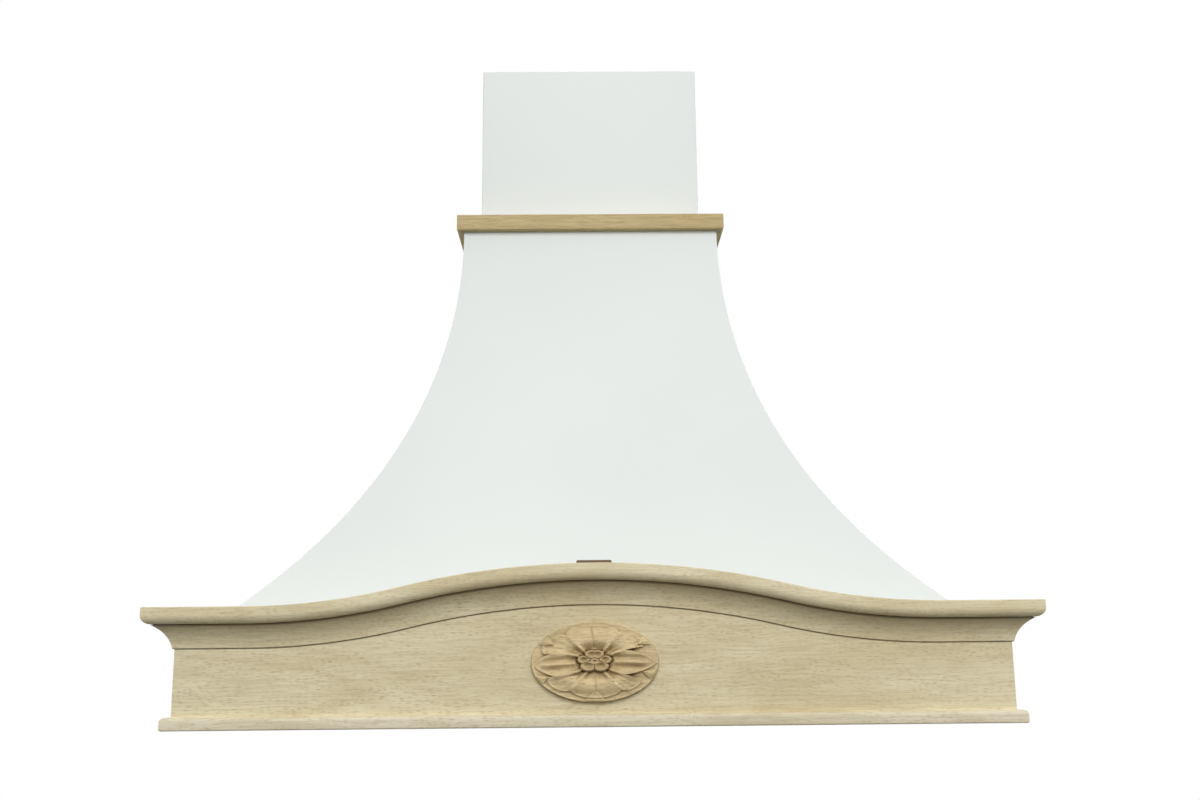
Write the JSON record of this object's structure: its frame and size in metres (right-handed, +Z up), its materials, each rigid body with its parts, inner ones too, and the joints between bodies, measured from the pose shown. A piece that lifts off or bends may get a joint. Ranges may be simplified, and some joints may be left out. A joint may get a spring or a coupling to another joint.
{
  "type": "chimney range hood cover",
  "caption": "Chimney range hood: white flared dome and flue cover on a raw wood frame with an arched cornice and oval rosette, holding an extractor with hinged grease filters.",
  "frame": {"origin": "on the wall plane, at the centre of the frame's lower edge, where the back rail meets the wall", "axes": "+X to the right as seen from the front, +Y into the wall, +Z up"},
  "size_m": [0.959, 0.5095, 0.8637],
  "materials": {
    "beech": "raw sanded beech",
    "rosette_wood": "raw carved beech",
    "collar_wood": "oiled straight-grained wood",
    "crest_wood": "brown stained wood",
    "inner_wood": "planed softwood",
    "white_paint": "matt white powder coat",
    "zinc_steel": "galvanised sheet",
    "tray_paint": "satin light grey coat",
    "filter_metal": "satin aluminium",
    "black_plastic": "fine-grained black moulding",
    "grey_plastic": "grey moulding",
    "lamp_rim": "bright spun metal",
    "lamp_lens": "frosted glass",
    "screw_steel": "ground steel",
    "motor_paint": "black coated motor can"
  },
  "bodies": {
    "hood": {"front_fascia": "beech", "left_fascia": "beech", "right_fascia": "beech", "front_cornice": "beech", "left_cornice": "beech", "right_cornice": "beech", "front_base_strip": "beech", "left_base_strip": "beech", "right_base_strip": "beech", "rosette": "rosette_wood", "back_rail": "inner_wood", "left_batten": "inner_wood", "right_batten": "inner_wood", "front_batten": "inner_wood", "rear_batten": "inner_wood", "corner_blocks": "inner_wood", "crest_block": "crest_wood", "dome_front_panel": "white_paint", "dome_left_panel": "white_paint", "dome_right_panel": "white_paint", "back_panel": "zinc_steel", "neck_plate": "zinc_steel", "collar_front": "collar_wood", "collar_left": "collar_wood", "collar_right": "collar_wood", "chimney_cover": "white_paint", "chimney_bracket": "zinc_steel", "liner_tray": "tray_paint", "lamp_housing_left": "lamp_rim", "lamp_housing_right": "lamp_rim", "lamp_lens_left": "lamp_lens", "lamp_lens_right": "lamp_lens", "switch_plate": "black_plastic", "blower_housing": "zinc_steel", "motor": "motor_paint", "motor_bracket": "zinc_steel", "duct_transition": "zinc_steel", "outlet_spigot": "black_plastic", "flap_pin": "screw_steel", "terminal_box": "black_plastic"},
    "fan_wheel": {"impeller": "grey_plastic", "fan_shaft": "screw_steel"},
    "filter_left": {"filter_frame_left": "filter_metal", "filter_baffles_left": "filter_metal"},
    "filter_right": {"filter_frame_right": "filter_metal", "filter_baffles_right": "filter_metal"},
    "latch_left": {"latch_left": "black_plastic"},
    "latch_right": {"latch_right": "black_plastic"},
    "flap_front": {"flap_front": "grey_plastic"},
    "flap_rear": {"flap_rear": "grey_plastic"},
    "speed_slider": {"speed_slider": "grey_plastic"},
    "lamp_switch": {"lamp_switch": "grey_plastic"}
  },
  "joints": [
    {"name": "impeller_spin", "type": "hinge", "parent": "hood", "child": "fan_wheel", "pos_m": [0, -0.185, 0.4], "axis": [1, 0, 0], "continuous": true},
    {"name": "filter_left_hinge", "type": "hinge", "parent": "hood", "child": "filter_left", "pos_m": [-0.17, -0.0825, 0.049], "axis": [1, 0, 0], "range_deg": [0, 80]},
    {"name": "latch_left_slide", "type": "slide", "parent": "filter_left", "child": "latch_left", "axis": [0, 1, 0], "range_m": [0, 0.004], "stiffness_N_per_m": 250, "springref_m": -0.003},
    {"name": "filter_right_hinge", "type": "hinge", "parent": "hood", "child": "filter_right", "pos_m": [0.17, -0.0825, 0.049], "axis": [1, 0, 0], "range_deg": [0, 80]},
    {"name": "latch_right_slide", "type": "slide", "parent": "filter_right", "child": "latch_right", "axis": [0, 1, 0], "range_m": [0, 0.004], "stiffness_N_per_m": 250, "springref_m": -0.003},
    {"name": "flap_front_hinge", "type": "hinge", "parent": "hood", "child": "flap_front", "pos_m": [0, -0.116, 0.6398], "axis": [-1, 0, 0], "range_deg": [0, 75]},
    {"name": "flap_rear_hinge", "type": "hinge", "parent": "hood", "child": "flap_rear", "pos_m": [0, -0.116, 0.6398], "axis": [1, 0, 0], "range_deg": [0, 75]},
    {"name": "speed_slide", "type": "slide", "parent": "hood", "child": "speed_slider", "axis": [1, 0, 0], "range_m": [0, 0.036]},
    {"name": "lamp_slide", "type": "slide", "parent": "hood", "child": "lamp_switch", "axis": [1, 0, 0], "range_m": [0, 0.012]}
  ]
}
